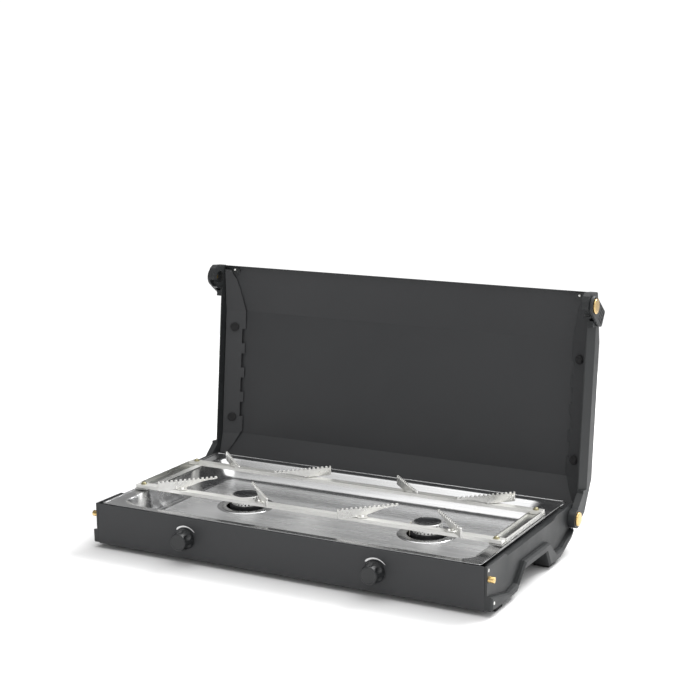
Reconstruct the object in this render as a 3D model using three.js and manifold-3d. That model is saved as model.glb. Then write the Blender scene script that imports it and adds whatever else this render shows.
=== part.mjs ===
// A two-burner camping stove with its lid open, in millimetres. +Z is up, +X is to the stove's right
// and the knobs face -Y. The origin is on the ground, under the middle of the whole stove.
import * as THREE from "three";
import { mergeVertices } from "three/addons/utils/BufferGeometryUtils.js";
import Module from "manifold-3d";

const wasm = await Module();
wasm.setup();

// ---- Driving dimensions ----
// Depths (y) are counted from the tray's front edge, and ORIGIN_DEPTH moves the origin to the middle.
const ORIGIN_DEPTH = 179;
const GAP = 0.3; // clearance between pieces that touch or run in each other
const SHEET = 1.2; // folded steel of the base
const LID_SHEET = 1;

const PANEL = { half: 300, front: -2, bottom: 8, top: 66.8 };
const TRAY = { half: 294.4, depth: 304, top: 68.5, sheet: 1, corner: 4 };
const WELL = { half: 276, front: 12, rear: 290, corner: 26, floor: 42, slope: 24, floorCorner: 12 };
const PAN = { half: 268, front: 2, rear: 292, bottom: 10.5, wall: 38, rearWall: 59 };

const BURNER = { x: 147.4, y: 153, hole: 29.5, collar: 41.5, collarHeight: 3 };
const HEAD = { radius: 21.5, bottom: 46.5, top: 60.6, dish: 18, dishDepth: 2.6 };
const BOWL = { radius: 24.4, neck: 11, top: 46, bottom: 22, venturi: 7 };

const KNOB = { x: 148.2, shift: -2.8, z: 36.5, radius: 15, tip: 11.8, face: -22, back: -3, flutes: 6 };
const STEM = 3.5;
const knobX = (side) => side * KNOB.x + KNOB.shift; // the knobs sit a little left of the burners
const MANIFOLD_PIPE = { y: 18, z: 21.5, radius: 4, left: -236, rear: 286 };
const INLET = { radius: 6.5, collar: 9.5, rear: 314 };

const BAR = { half: 290, offset: 70, depth: 13, bottom: 71.4, top: 76.2 };
const RAIL = { inner: 272, outer: 291, bottom: 68.8, top: 70.8, flange: 76.2 };
const FRAME_SCREW = { x: 280, shank: 2, washer: 4.4, head: 3.2 };
const BLADE = { across: 65, along: 70, tail: 34.6, tip: 53, thick: 2.5, base: 77, top: 91, teeth: 10 };
const BLADE_PLANE = 3.6; // from the rivet to the plate, which points straight at the burner
const RIVET = 2.2;

const SIDE = { wall: 300.4, skin: 3.2, rib: 311, inner: 272 };
const FOOT = { x: 294, width: 22, length: 26, front: 34, rear: 221, height: 7 };
const STUD = { y: 3, z: 50, radius: 4.25, end: 312 };
const HINGE = { y: 295, z: 47, barrel: 13.5, shank: 5, head: 10, inner: 304.3, outer: 315 };

// The lid is drawn closed, flat over the tray, and is then turned back about the hinge.
const LID_OPEN = THREE.MathUtils.degToRad(96);
const LID = { half: 304, front: -24.5, lip: 74, shoulder: 79.5, top: 98 };
const LID_FOLD = { front: 47.5, rear: 245 };
const LID_REAR = { y: 289, z: 75.5 };
const CAP = { inner: 304.3, outer: 314, rim: 67, bevelInner: 306, bevelTop: 80 };
const LINER = { outer: 303.6, outerZ: 81, inner: 276, innerZ: 95.4, front: -18, rear: 277, sheet: 1 };
const LINER_SLOPE = { front: 0.122, rear: -0.2 }; // how each end facet drops away from its fold
const LINER_NOTCH = { count: 4, first: 76.5, width: 23, pitch: 39.2, depth: 4.5 };
const BUMPER = { x: 290.5, ys: [73.5, 218.8], radius: 6.75, height: 3.6 };

const EAR = { slope: 0.256, y: -22.5, z: 77.2 }; // the cap's screwed ear lies along the lid's front facet
const LATCH = { y: -6.5, z: 59.5, relief: 23.4, floor: 308, hub: 14.5, reach: 43, half: 12.4 };
const LATCH_PLATE = { inner: 314.4, outer: 318.8 };
const LATCH_PIN = { shank: 4, head: 10.8, inner: 309.4, outer: 321.5 };
const LATCH_RECESS = { radius: 9.5, floor: 311 };
const LATCH_REST = THREE.MathUtils.degToRad(61.5); // the lever's direction from +Y to +Z, lid closed
const LATCH_LUG = { near: 18.5, far: 22, half: 5, inner: 308.8 };

const ROUND = 32; // sides of a large round piece
const SMALL = 16; // sides of a small one

// ---- Materials ----
const finish = (color, roughness, metalness) =>
  new THREE.MeshStandardMaterial({ color, roughness, metalness });
const MATERIALS = {
  powder: finish(0x3c3d3f, 0.55, 0.1),
  moulded: finish(0x2c2d2e, 0.5, 0),
  stainless: finish(0xc9cacb, 0.22, 1),
  satin: finish(0xd4d4cf, 0.35, 1),
  brass: finish(0xc9a25a, 0.3, 1),
  rubber: finish(0x1c1c1d, 0.85, 0),
  aluminium: finish(0xb9babb, 0.4, 1),
  ceramic: finish(0xe6e2d8, 0.4, 0),
};

// ---- Shape helpers ----
// Turns a drawing's first, second and drawn-out directions onto the axes named by an axis letter.
const ONTO_AXIS = {
  x: new THREE.Matrix4().set(0, 0, 1, 0, 1, 0, 0, 0, 0, 1, 0, 0, 0, 0, 0, 1),
  y: new THREE.Matrix4().set(0, 1, 0, 0, 0, 0, 1, 0, 1, 0, 0, 0, 0, 0, 0, 1),
  z: new THREE.Matrix4(),
};

// An outline drawn out along an axis. Its points are (y, z) along x, (x, z) along y and (x, y) along z.
function extrude(axis, outline, low, high, bevel = 0) {
  const corners = outline.map(([a, b]) => (axis === "y" ? new THREE.Vector2(b, a) : new THREE.Vector2(a, b)));
  const geometry = new THREE.ExtrudeGeometry(new THREE.Shape(corners), {
    depth: high - low - 2 * bevel,
    bevelEnabled: bevel > 0,
    bevelThickness: bevel,
    bevelSize: bevel,
    bevelOffset: -bevel,
    bevelSegments: 1,
  });
  return geometry.translate(0, 0, low + bevel).applyMatrix4(ONTO_AXIS[axis]);
}

function box(x0, x1, y0, y1, z0, z1) {
  const block = new THREE.BoxGeometry(x1 - x0, y1 - y0, z1 - z0);
  return block.translate((x0 + x1) / 2, (y0 + y1) / 2, (z0 + z1) / 2);
}

// A cylinder along an axis, with its centre at (a, b) as in extrude.
function rod(axis, radius, low, high, a = 0, b = 0, sides = SMALL) {
  const outline = [];
  for (let i = 0; i < sides; i += 1) {
    const angle = (2 * Math.PI * (i + 0.5)) / sides;
    outline.push([a + radius * Math.cos(angle), b + radius * Math.sin(angle)]);
  }
  return extrude(axis, outline, low, high);
}

// A closed profile of (radius, height) pairs, counter-clockwise, turned about the z axis.
function turn(profile, sides = ROUND) {
  const points = profile.map(([radius, height]) => new THREE.Vector2(radius, height));
  return new THREE.LatheGeometry(points, sides).rotateX(Math.PI / 2);
}

// A rectangle with round corners, as one ring of points at height z.
function roundedRing(x0, x1, y0, y1, radius, z, steps = 5) {
  const centres = [
    [x1 - radius, y1 - radius],
    [x0 + radius, y1 - radius],
    [x0 + radius, y0 + radius],
    [x1 - radius, y0 + radius],
  ];
  const ring = [];
  centres.forEach(([cx, cy], corner) => {
    for (let i = 0; i <= steps; i += 1) {
      const angle = (Math.PI / 2) * (corner + i / steps);
      ring.push([cx + radius * Math.cos(angle), cy + radius * Math.sin(angle), z]);
    }
  });
  return ring;
}

// A solid skinned between a lower and an upper ring with the same number of points.
function loft(lower, upper) {
  const count = lower.length;
  const middle = (ring) => ring.reduce((sum, p) => sum.map((v, i) => v + p[i] / count), [0, 0, 0]);
  const positions = [...lower, ...upper, middle(lower), middle(upper)].flat();
  const index = [];
  for (let i = 0; i < count; i += 1) {
    const next = (i + 1) % count;
    index.push(i, next, count + next, i, count + next, count + i);
    index.push(2 * count, next, i);
    index.push(2 * count + 1, count + i, count + next);
  }
  const geometry = new THREE.BufferGeometry();
  geometry.setAttribute("position", new THREE.Float32BufferAttribute(positions, 3));
  return geometry.setIndex(index);
}

// Slopes a shape up along +Y, and leaves the part of it at depth y where it is.
function sheared(geometry, slope, y) {
  const shear = new THREE.Matrix4().set(1, 0, 0, 0, 0, 1, 0, 0, 0, slope, 1, -slope * y, 0, 0, 0, 1);
  return geometry.applyMatrix4(shear);
}

function solid(geometry) {
  const bare = new THREE.BufferGeometry();
  bare.setAttribute("position", geometry.getAttribute("position"));
  bare.setIndex(geometry.index);
  const merged = mergeVertices(bare, 1e-4);
  return new wasm.Manifold(
    new wasm.Mesh({
      numProp: 3,
      vertProperties: new Float32Array(merged.getAttribute("position").array),
      triVerts: new Uint32Array(merged.index.array),
    }),
  );
}

function geometryOf(manifold) {
  const mesh = manifold.getMesh();
  const geometry = new THREE.BufferGeometry();
  geometry.setAttribute("position", new THREE.BufferAttribute(mesh.vertProperties, 3));
  geometry.setIndex(new THREE.BufferAttribute(mesh.triVerts, 1));
  return geometry;
}

const join = (...pieces) => geometryOf(pieces.map(solid).reduce((sum, piece) => sum.add(piece)));
const cut = (body, ...tools) =>
  geometryOf(tools.map(solid).reduce((rest, tool) => rest.subtract(tool), solid(body)));

// The same shape on the other side of the stove's middle plane.
function mirrored(geometry) {
  const flipped = geometry.clone().scale(-1, 1, 1);
  const index = flipped.index.array;
  for (let i = 0; i < index.length; i += 3) {
    [index[i + 1], index[i + 2]] = [index[i + 2], index[i + 1]];
  }
  return flipped;
}

function add(parent, name, geometry, material) {
  const mesh = new THREE.Mesh(geometry, material);
  mesh.name = name;
  parent.add(mesh);
  return mesh;
}

// Adds a right-hand piece and its mirror image on the left.
function addPair(parent, name, geometry, material) {
  const indexed = geometryOf(solid(geometry));
  add(parent, `${name}_right`, indexed, material);
  add(parent, `${name}_left`, mirrored(indexed), material);
}

// ---- Base: panel, pan, side caps, feet ----
function frontPanel() {
  const { half, front, bottom, top } = PANEL;
  const back = front + SHEET;
  const plate = box(-half, half, front, back, bottom, top);
  const flange = (z) => box(-PAN.half, PAN.half, back - 0.1, 11, z, z + SHEET);
  const body = join(plate, flange(bottom), flange(top - SHEET));
  const hole = (x) => rod("y", STEM + GAP, front - 1, back + 1, x, KNOB.z);
  return cut(body, hole(knobX(1)), hole(knobX(-1)));
}

function basePan() {
  const { half, front, rear, bottom, wall, rearWall } = PAN;
  const floor = box(-half, half, front, rear, bottom, bottom + SHEET);
  const side = (x) => box(x, x + SHEET, front, rear, bottom, wall);
  const back = box(-half, half, rear - SHEET, rear, bottom, rearWall);
  const lip = box(-half, half, rear - SHEET, rear + 9, rearWall - SHEET, rearWall);
  const body = join(floor, side(-half), side(half - SHEET), back, lip);
  const inlet = rod("y", INLET.radius + GAP, rear - 3, rear + 2, MANIFOLD_PIPE.left, MANIFOLD_PIPE.z);
  return cut(body, inlet);
}

// The rib runs along the side cap's foot: down for the front foot, up over the hand grip and down again.
const RIB_TOP = [[-2, 28], [60, 14.5], [86, 18], [112, 41], [200, 40], [226, 17], [252, 17], [294, 33]];
const RIB_UNDER = [[284, 21], [240, 5], [203, 5], [189, 29], [108, 30], [82, 7], [50, 6], [-2, 9]];
const WALL_TOP = [[303, 40], [303, 66], [241, 66], [228, 62], [66, 62], [58, 66.5], [-2, 67.2]];
const WALL_UNDER = [[-2, 14], [55, 10], [84, 13], [110, 35], [197, 34], [216, 11], [246, 12], [290, 29]];

function sideCap() {
  const { wall, skin, rib, inner } = SIDE;
  const face = extrude("x", [...WALL_UNDER, ...WALL_TOP], wall, wall + skin);
  const ribOutline = [...RIB_TOP, ...RIB_UNDER];
  const outerRib = extrude("x", ribOutline, wall, rib, 2.5);
  const shelf = extrude("x", ribOutline, inner, wall + skin);
  const ledge = box(281, wall + 1, 20, 286, 59, 62);
  const end = box(281, wall + 1, 288, 290.5, 27, 62);
  const nose = box(inner - 1, wall - GAP, PANEL.front - 1, PANEL.front + SHEET + GAP, 0, 80);
  const pin = rod("x", HINGE.shank + GAP, inner, rib + 1, HINGE.y, HINGE.z);
  const stud = rod("x", 2.5 + GAP, wall - 1, rib, STUD.y, STUD.z);
  return cut(join(face, outerRib, shelf, ledge, end), nose, pin, stud);
}

// Each foot is a rubber block pressed up against the underside of the rib.
function addFeet(parent) {
  const places = { front: FOOT.front, rear: FOOT.rear };
  for (const [name, y] of Object.entries(places)) {
    const { x, width, length, height } = FOOT;
    const outline = [
      [y - length / 2 + 2, 0],
      [y + length / 2 - 2, 0],
      [y + length / 2, height],
      [y - length / 2, height],
    ];
    const block = extrude("x", outline, x - width / 2, x + width / 2);
    const seat = [...RIB_TOP, ...RIB_UNDER].map(([a, b]) => [a, b - GAP]);
    const rib = extrude("x", seat, x - width, x + width);
    addPair(parent, `foot_${name}`, cut(block, rib), MATERIALS.rubber);
  }
}

// ---- Drip tray ----
function dripTray() {
  const { half, depth, top, sheet, corner } = TRAY;
  const well = (grow, drop) => {
    const lowHalf = WELL.half - WELL.slope;
    const lowFront = WELL.front + WELL.slope - grow;
    const lowRear = WELL.rear - WELL.slope + grow;
    const wide = WELL.half + grow;
    const low = roundedRing(
      -lowHalf - grow, lowHalf + grow, lowFront, lowRear, WELL.floorCorner + grow, WELL.floor - drop,
    );
    const high = roundedRing(
      -wide, wide, WELL.front - grow, WELL.rear + grow, WELL.corner + grow, top - drop,
    );
    return loft(low, high);
  };
  const rimOutline = roundedRing(-half, half, 0, depth, corner, 0).map(([x, y]) => [x, y]);
  const rim = extrude("z", rimOutline, top - sheet, top);
  const outside = solid(rim).add(solid(well(0.6, sheet)));
  const mouth = box(-WELL.half, WELL.half, WELL.front, WELL.rear, top, top + 1);
  const inside = solid(well(0, 0)).subtract(solid(mouth));
  let tray = outside.subtract(inside);
  const collarTop = WELL.floor + BURNER.collarHeight;
  for (const x of [-BURNER.x, BURNER.x]) {
    const collar = rod("z", BURNER.collar, WELL.floor - 0.5, collarTop, x, BURNER.y, ROUND);
    const hole = rod("z", BURNER.hole, WELL.floor - 5, collarTop + 5, x, BURNER.y, ROUND);
    tray = tray.add(solid(collar)).subtract(solid(hole));
  }
  return geometryOf(tray);
}

// ---- Burners and gas train ----
function burnerHead() {
  const { radius, bottom, top, dish, dishDepth } = HEAD;
  return turn([
    [0, top - dishDepth - 1.5],
    [radius - 2, top - dishDepth - 1.5],
    [radius - 2, bottom],
    [radius, bottom],
    [radius, top - 1],
    [dish + 1.5, top],
    [dish, top - 0.4],
    [dish * 0.6, top - dishDepth * 0.8],
    [0, top - dishDepth],
  ]).translate(BURNER.x, BURNER.y, 0);
}

function burnerBody(side) {
  const { radius, neck, top, bottom, venturi } = BOWL;
  const bowl = turn([
    [0, bottom],
    [neck, bottom],
    [neck + 1, bottom + 9],
    [radius, top - 5],
    [radius, top],
    [radius - 3, top],
    [radius - 3, top - 4],
    [neck - 2, bottom + 11],
    [neck - 3, bottom + 3],
    [0, bottom + 3],
  ]).translate(side * BURNER.x, BURNER.y, 0);
  const height = bottom + venturi + 0.5;
  const tube = rod("y", venturi, 52, BURNER.y - neck + 3, knobX(side), height);
  const bore = rod("y", venturi - 2, 51, BURNER.y - neck - 4, knobX(side), height);
  const post = rod("z", 5, PAN.bottom + SHEET + GAP, bottom + 1, side * BURNER.x, BURNER.y);
  return cut(join(bowl, tube, post), bore);
}

function sparkElectrode() {
  const x = BURNER.x - HEAD.radius - 5.4;
  const insulator = rod("z", 1.9, WELL.floor - 6, 53, x, BURNER.y + 1);
  const wire = box(x - 0.7, x + 3.6, BURNER.y + 0.3, BURNER.y + 1.7, 52.5, 55.5);
  return join(insulator, wire);
}

function gasValve(side) {
  const { z } = KNOB;
  const x = knobX(side);
  const block = box(x - 11, x + 11, 3, 28, z - 10.5, z + 10.5);
  const nozzle = rod("y", 4, 27, 50, x, BOWL.bottom + BOWL.venturi + 0.5);
  const stem = rod("y", STEM + GAP, 2, 16, x, z);
  return cut(join(block, nozzle), stem);
}

// One pipe feeds both valves along the front, turns the corner and runs back to the inlet.
function gasManifold() {
  const { y, z, radius, left, rear } = MANIFOLD_PIPE;
  const bend = 14;
  const route = new THREE.CurvePath();
  const start = new THREE.Vector3(knobX(1) + 8, y, z);
  const corner = new THREE.Vector3(left, y, z);
  const beforeBend = new THREE.Vector3(left + bend, y, z);
  const afterBend = new THREE.Vector3(left, y + bend, z);
  route.add(new THREE.LineCurve3(start, beforeBend));
  route.add(new THREE.QuadraticBezierCurve3(beforeBend, corner, afterBend));
  route.add(new THREE.LineCurve3(afterBend, new THREE.Vector3(left, rear, z)));
  const section = [];
  for (let i = 0; i < 10; i += 1) {
    const angle = (2 * Math.PI * i) / 10;
    section.push(new THREE.Vector2(radius * Math.cos(angle), radius * Math.sin(angle)));
  }
  return new THREE.ExtrudeGeometry(new THREE.Shape(section), { extrudePath: route, steps: 60 });
}

function gasInlet() {
  const { left: x, z, rear } = MANIFOLD_PIPE;
  const thread = rod("y", INLET.radius, rear + GAP, INLET.rear, x, z, 24);
  const collar = rod("y", INLET.collar, PAN.rear + GAP, PAN.rear + 7, x, z, 6);
  const bore = rod("y", 3.2, PAN.rear + 9, INLET.rear + 1, x, z);
  return cut(join(thread, collar), bore);
}

// A tapered knob with oval finger scallops let into its side.
function knob() {
  const { radius, tip, face, back, flutes } = KNOB;
  const length = back - face;
  const body = turn([
    [0, 0],
    [radius - 1, 0],
    [radius, 1],
    [radius - 0.4, 3.5],
    [tip + 1, length - 1.2],
    [tip, length],
    [0, length],
  ], 36);
  const cutters = [];
  for (let i = 0; i < flutes; i += 1) {
    const angle = (2 * Math.PI * (i + 0.5)) / flutes;
    const scallop = new THREE.SphereGeometry(1, 12, 8).scale(4.4, 3.6, 6.8);
    scallop.rotateZ(angle + Math.PI / 2);
    cutters.push(scallop.translate(15.4 * Math.cos(angle), 15.4 * Math.sin(angle), 11.5));
  }
  const bore = rod("z", STEM + GAP, -1, length - 5, 0, 0);
  return cut(body, ...cutters, bore).rotateX(Math.PI / 2).translate(0, back, 0);
}

function valveStem() {
  return rod("y", STEM, KNOB.face + 6, 15.5, 0, 0);
}

// ---- Pot frame ----
const bladePlaces = [];
for (const side of [-1, 1]) {
  for (const across of [-1, 1]) {
    for (const along of [-1, 1]) {
      bladePlaces.push({ side, across, along });
    }
  }
}

function bladeName({ side, across, along }) {
  const burner = side < 0 ? "left" : "right";
  const row = along < 0 ? "front" : "rear";
  const hand = across < 0 ? "a" : "b";
  return `pot_support_${burner}_${row}_${hand}`;
}

const bladeX = ({ side, across }) => side * BURNER.x + across * BLADE.across;
const bladeY = ({ along }) => BURNER.y + along * BLADE.along;

function frameBar(along) {
  const { half, offset, depth, bottom, top } = BAR;
  const y = BURNER.y + along * offset;
  const bar = box(-half, half, y - depth / 2, y + depth / 2, bottom, top);
  const hole = (radius, x) => rod("z", radius + GAP, bottom - 1, top + 1, x, y, 12);
  const rivets = bladePlaces.filter((place) => place.along === along);
  const rivetHoles = rivets.map((place) => hole(RIVET, bladeX(place)));
  const screwHoles = [-1, 1].map((side) => hole(FRAME_SCREW.shank, side * FRAME_SCREW.x));
  return cut(bar, ...rivetHoles, ...screwHoles);
}

function frameRail() {
  const { inner, outer, bottom, top, flange } = RAIL;
  const front = BURNER.y - BAR.offset - BAR.depth / 2;
  const rear = BURNER.y + BAR.offset + BAR.depth / 2;
  const foot = box(inner, outer, front, rear, bottom, top);
  const wall = (x, height) =>
    box(x, x + 1.4, front + BAR.depth + GAP, rear - BAR.depth - GAP, bottom, height);
  const screwHole = (along) =>
    rod("z", FRAME_SCREW.shank + GAP, bottom - 1, top + 1, FRAME_SCREW.x, BURNER.y + along * BAR.offset, 12);
  return cut(join(foot, wall(outer - 1.4, flange), wall(inner, flange - 2)), screwHole(-1), screwHole(1));
}

function addFrameScrews(parent) {
  const { x, shank, washer, head } = FRAME_SCREW;
  const profile = [
    [0, RAIL.bottom + GAP],
    [shank, RAIL.bottom + GAP],
    [shank, BAR.top + GAP],
    [washer, BAR.top + GAP],
    [washer, BAR.top + 1],
    [head, BAR.top + 1],
    [head - 0.2, BAR.top + 2.6],
    [head / 2, BAR.top + 3.4],
    [0, BAR.top + 3.4],
  ];
  for (const [row, along] of [["front", -1], ["rear", 1]]) {
    const screw = turn(profile, 12).translate(x, BURNER.y + along * BAR.offset, 0);
    addPair(parent, `frame_screw_${row}`, screw, MATERIALS.brass);
  }
}

// A serrated plate that stands on edge: its tip points along +X, and its rivet is on the z axis.
function potSupport() {
  const { tail, tip, thick, base, top, teeth } = BLADE;
  const pitch = (tail + tip - 8) / teeth;
  const outline = [
    [-tail, base], [10, base], [16, base + 3], [26, base + 6.4], [tip - 4, top - 5], [tip, top - 3.4],
    [tip - 2, top - 0.6],
  ];
  for (let i = 0; i < teeth; i += 1) {
    const x = tip - 5 - i * pitch;
    outline.push([x, top], [x - 0.35 * pitch, top - 2.2], [x - 0.6 * pitch, top - 2.2]);
  }
  outline.push([-tail + 2, top], [-tail, top - 1.5]);
  const plate = extrude("y", outline, BLADE_PLANE - thick / 2, BLADE_PLANE + thick / 2);
  const tab = box(-7, 7, -5, BLADE_PLANE, base - 0.3, base + 0.9);
  const shank = rod("z", RIVET, BAR.bottom + 0.2, base + 1, 0, 0, 12);
  const profile = [[0, base + 0.5], [3.4, base + 0.5], [3.2, base + 1.8], [1.8, base + 2.7], [0, base + 2.7]];
  const head = turn(profile, 12);
  return join(plate, tab, shank, head);
}

// ---- Lid ----
function lidShell() {
  const { half, front, lip, shoulder, top } = LID;
  const sheet = LID_SHEET;
  const outline = [
    [front, lip], [front + sheet, lip], [front + sheet, shoulder - 0.7], [LID_FOLD.front + 0.1, top - sheet],
    [LID_FOLD.rear - 0.2, top - sheet], [LID_REAR.y - 0.5, LID_REAR.z - 0.9], [LID_REAR.y, LID_REAR.z],
    [LID_FOLD.rear, top], [LID_FOLD.front, top], [front, shoulder],
  ];
  return extrude("x", outline, -half, half);
}

// The latch housing under the lid cap's front corner. Its rear side is round, so the lug can pass it.
const HOUSING = [[-6.5, 83.9], [-24.3, 79.5], [-25.5, 74], [-25.5, 52], [-20.5, 44.5], [-13, 41.7]];
for (let degrees = -90; degrees <= 80; degrees += 17) {
  const angle = THREE.MathUtils.degToRad(degrees);
  HOUSING.push([LATCH.y + 17.8 * Math.cos(angle), LATCH.z + 17.8 * Math.sin(angle)]);
}

// The moulded end of the lid: a wall, the hinge barrel, the latch housing and a screwed ear.
function lidCap() {
  const { inner, outer, rim, bevelInner, bevelTop } = CAP;
  const { front, shoulder, top } = LID;
  const wall = extrude("x", [
    [front, LID.lip], [-19, rim], [262, rim], [HINGE.y - 14.5, HINGE.z + 2], [HINGE.y - 9, HINGE.z - 9],
    [HINGE.y + 9, HINGE.z + 9], [HINGE.y + 2, 66], [LID_REAR.y + 1, LID_REAR.z + 1],
    [LID_FOLD.rear, top + 0.6], [LID_FOLD.front, top + 0.6], [front, shoulder + 0.6],
  ], inner, outer);
  const barrel = rod("x", HINGE.barrel, inner, HINGE.outer, HINGE.y, HINGE.z, ROUND);
  const housing = extrude("x", HOUSING, inner, LATCH_PLATE.inner - GAP);
  const slot = STUD.radius + 1;
  const notch = rod("x", slot, inner - 1, LATCH_PLATE.inner, STUD.y, STUD.z);
  const mouth = box(inner - 1, LATCH_PLATE.inner, STUD.y - slot, STUD.y + slot, LATCH.z - 20, STUD.z);
  const recess = rod("x", LATCH_RECESS.radius, inner - 1, LATCH_RECESS.floor, LATCH.y, LATCH.z, 24);
  const earOutline = [
    [inner + 1, -22.5], [inner + 1, -11.5], [284.5, -11.5], [280.6, -13.4], [279, -17], [280.6, -20.6],
    [284.5, -22.5],
  ];
  const ear = sheared(extrude("z", earOutline, EAR.z, EAR.z + 1.4), EAR.slope, EAR.y);
  const bevelOutline = [[bevelInner, rim - 0.1], [outer + 1, rim - 0.1], [outer + 1, bevelTop + 1.7]];
  const bevel = extrude("y", bevelOutline, 24, 258);
  const disc = rod("x", LATCH.relief, LATCH.floor, outer + 5, LATCH.y, LATCH.z, 40);
  const relief = cut(disc, extrude("x", HOUSING, LATCH.floor - 1, outer + 6));
  const latchBore = rod("x", LATCH_PIN.shank + GAP, inner, outer + 5, LATCH.y, LATCH.z);
  const hingeBore = rod("x", HINGE.shank + GAP, inner - 1, HINGE.outer + 1, HINGE.y, HINGE.z);
  const body = join(wall, barrel, housing, ear);
  return cut(body, bevel, relief, notch, mouth, recess, latchBore, hingeBore);
}

// A slanted lining plate down each end of the lid, folded where the lid is and with a notched free edge.
function lidLiner() {
  const { outer, outerZ, inner, innerZ, front, rear, sheet } = LINER;
  const tilt = Math.atan2(innerZ - outerZ, outer - inner);
  const facet = (edge, slope, fold) => {
    const outline = edge.map(([x, y]) => [-(outer - x) / Math.cos(tilt), y]);
    const plate = extrude("z", outline, -sheet, 0).rotateY(tilt).translate(outer, 0, outerZ);
    return sheared(plate, slope, fold);
  };
  const { front: foldFront, rear: foldRear } = LID_FOLD;
  const middle = [[outer, foldFront], [inner, foldFront], [inner, 57]];
  for (let i = 0; i < LINER_NOTCH.count; i += 1) {
    const start = LINER_NOTCH.first + LINER_NOTCH.pitch * i;
    const end = start + LINER_NOTCH.width;
    const base = inner + LINER_NOTCH.depth;
    middle.push([inner, start], [base, start], [base, end], [inner, end]);
  }
  middle.push([inner, 240], [inner + 3, foldRear], [outer, foldRear]);
  const upper = [
    [outer, front], [294.5, front], [292.5, -11], [287.8, -3.5], [284, 10], [279.5, 30], [inner, foldFront],
    [outer, foldFront],
  ];
  const lower = [[outer, foldRear], [inner + 3, foldRear], [286, 262], [294, rear], [outer, rear]];
  return join(
    facet(middle, 0, 0),
    facet(upper, LINER_SLOPE.front, foldFront),
    facet(lower, LINER_SLOPE.rear, foldRear),
  );
}

function bumper(y) {
  const { x, radius, height } = BUMPER;
  const tilt = Math.atan2(LINER.innerZ - LINER.outerZ, LINER.outer - LINER.inner);
  const z = LINER.outerZ + (LINER.outer - x) * Math.tan(tilt) - LINER.sheet / Math.cos(tilt) - GAP;
  const button = turn([
    [0, -height], [radius - 1.2, -height], [radius, -height + 1.2], [radius, 0], [0, 0],
  ], 24);
  return button.rotateY(tilt).translate(x, y, z);
}

function lidScrew() {
  const head = turn([[0, -1.7], [1.1, -1.7], [1.9, -0.7], [1.9, 0], [0, 0]], 12);
  const y = -18.5;
  return head.rotateX(Math.atan(EAR.slope)).translate(288, y, EAR.z + EAR.slope * (y - EAR.y) - 2 * GAP);
}

// The latch lever points along +Y from its pivot on the x axis. Its lug hooks round the stud.
function latchLever() {
  const { hub, reach, half } = LATCH;
  const { inner, outer } = LATCH_PLATE;
  const outline = [];
  for (let i = 0; i <= 10; i += 1) {
    const angle = Math.PI / 2 + (Math.PI * i) / 10;
    outline.push([hub * Math.cos(angle), hub * Math.sin(angle)]);
  }
  outline.push([reach - 12, -half - 3.6], [reach - 1.5, -half], [reach, -half + 2], [reach, half - 2.4]);
  outline.push([reach - 2.4, half]);
  const plate = extrude("x", outline, inner, outer);
  const lug = box(LATCH_LUG.inner, inner + 1, LATCH_LUG.near, LATCH_LUG.far, -LATCH_LUG.half, LATCH_LUG.half);
  return cut(join(plate, lug), rod("x", LATCH_PIN.shank + GAP, inner - 1, outer + 1));
}

function latchPin() {
  const { shank, head, inner, outer } = LATCH_PIN;
  const start = LATCH_PLATE.outer + GAP;
  const profile = [[0, inner], [shank, inner], [shank, start], [head, start]];
  profile.push([head, outer - 0.8], [head - 0.8, outer], [0, outer]);
  return turn(profile, 28).rotateY(Math.PI / 2);
}

// ---- Assembly ----
const stove = new THREE.Group();
stove.position.y = -ORIGIN_DEPTH;

add(stove, "front_panel", frontPanel(), MATERIALS.powder);
add(stove, "base_pan", basePan(), MATERIALS.powder);
addPair(stove, "side_cap", sideCap(), MATERIALS.moulded);
addFeet(stove);
add(stove, "drip_tray", dripTray(), MATERIALS.stainless);
addPair(stove, "burner_head", burnerHead(), MATERIALS.aluminium);
for (const [name, side] of [["right", 1], ["left", -1]]) {
  add(stove, `burner_body_${name}`, burnerBody(side), MATERIALS.aluminium);
  add(stove, `gas_valve_${name}`, gasValve(side), MATERIALS.brass);
  const shift = side < 0 ? -2 * BURNER.x : 0;
  add(stove, `spark_electrode_${name}`, sparkElectrode().translate(shift, 0, 0), MATERIALS.ceramic);
}
add(stove, "gas_manifold", gasManifold(), MATERIALS.satin);
add(stove, "gas_inlet", gasInlet(), MATERIALS.brass);

const stud = turn([
  [0, 297], [2.5, 297], [2.5, SIDE.wall + SIDE.skin + GAP], [STUD.radius, SIDE.wall + SIDE.skin + GAP],
  [STUD.radius, STUD.end - 0.6], [STUD.radius - 0.6, STUD.end], [0, STUD.end],
], 20).rotateY(Math.PI / 2).translate(0, STUD.y, STUD.z);
addPair(stove, "latch_stud", stud, MATERIALS.brass);

const hingePin = turn([
  [0, 294], [HINGE.shank, 294], [HINGE.shank, HINGE.outer + GAP], [HINGE.head, HINGE.outer + GAP],
  [HINGE.head, HINGE.outer + 2.2], [HINGE.head - 0.8, HINGE.outer + 3], [0, HINGE.outer + 3],
], 28).rotateY(Math.PI / 2).translate(0, HINGE.y, HINGE.z);
addPair(stove, "hinge_pin", hingePin, MATERIALS.brass);

add(stove, "pot_frame_front_bar", frameBar(-1), MATERIALS.satin);
add(stove, "pot_frame_rear_bar", frameBar(1), MATERIALS.satin);
addPair(stove, "pot_frame_rail", frameRail(), MATERIALS.satin);
addFrameScrews(stove);

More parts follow.
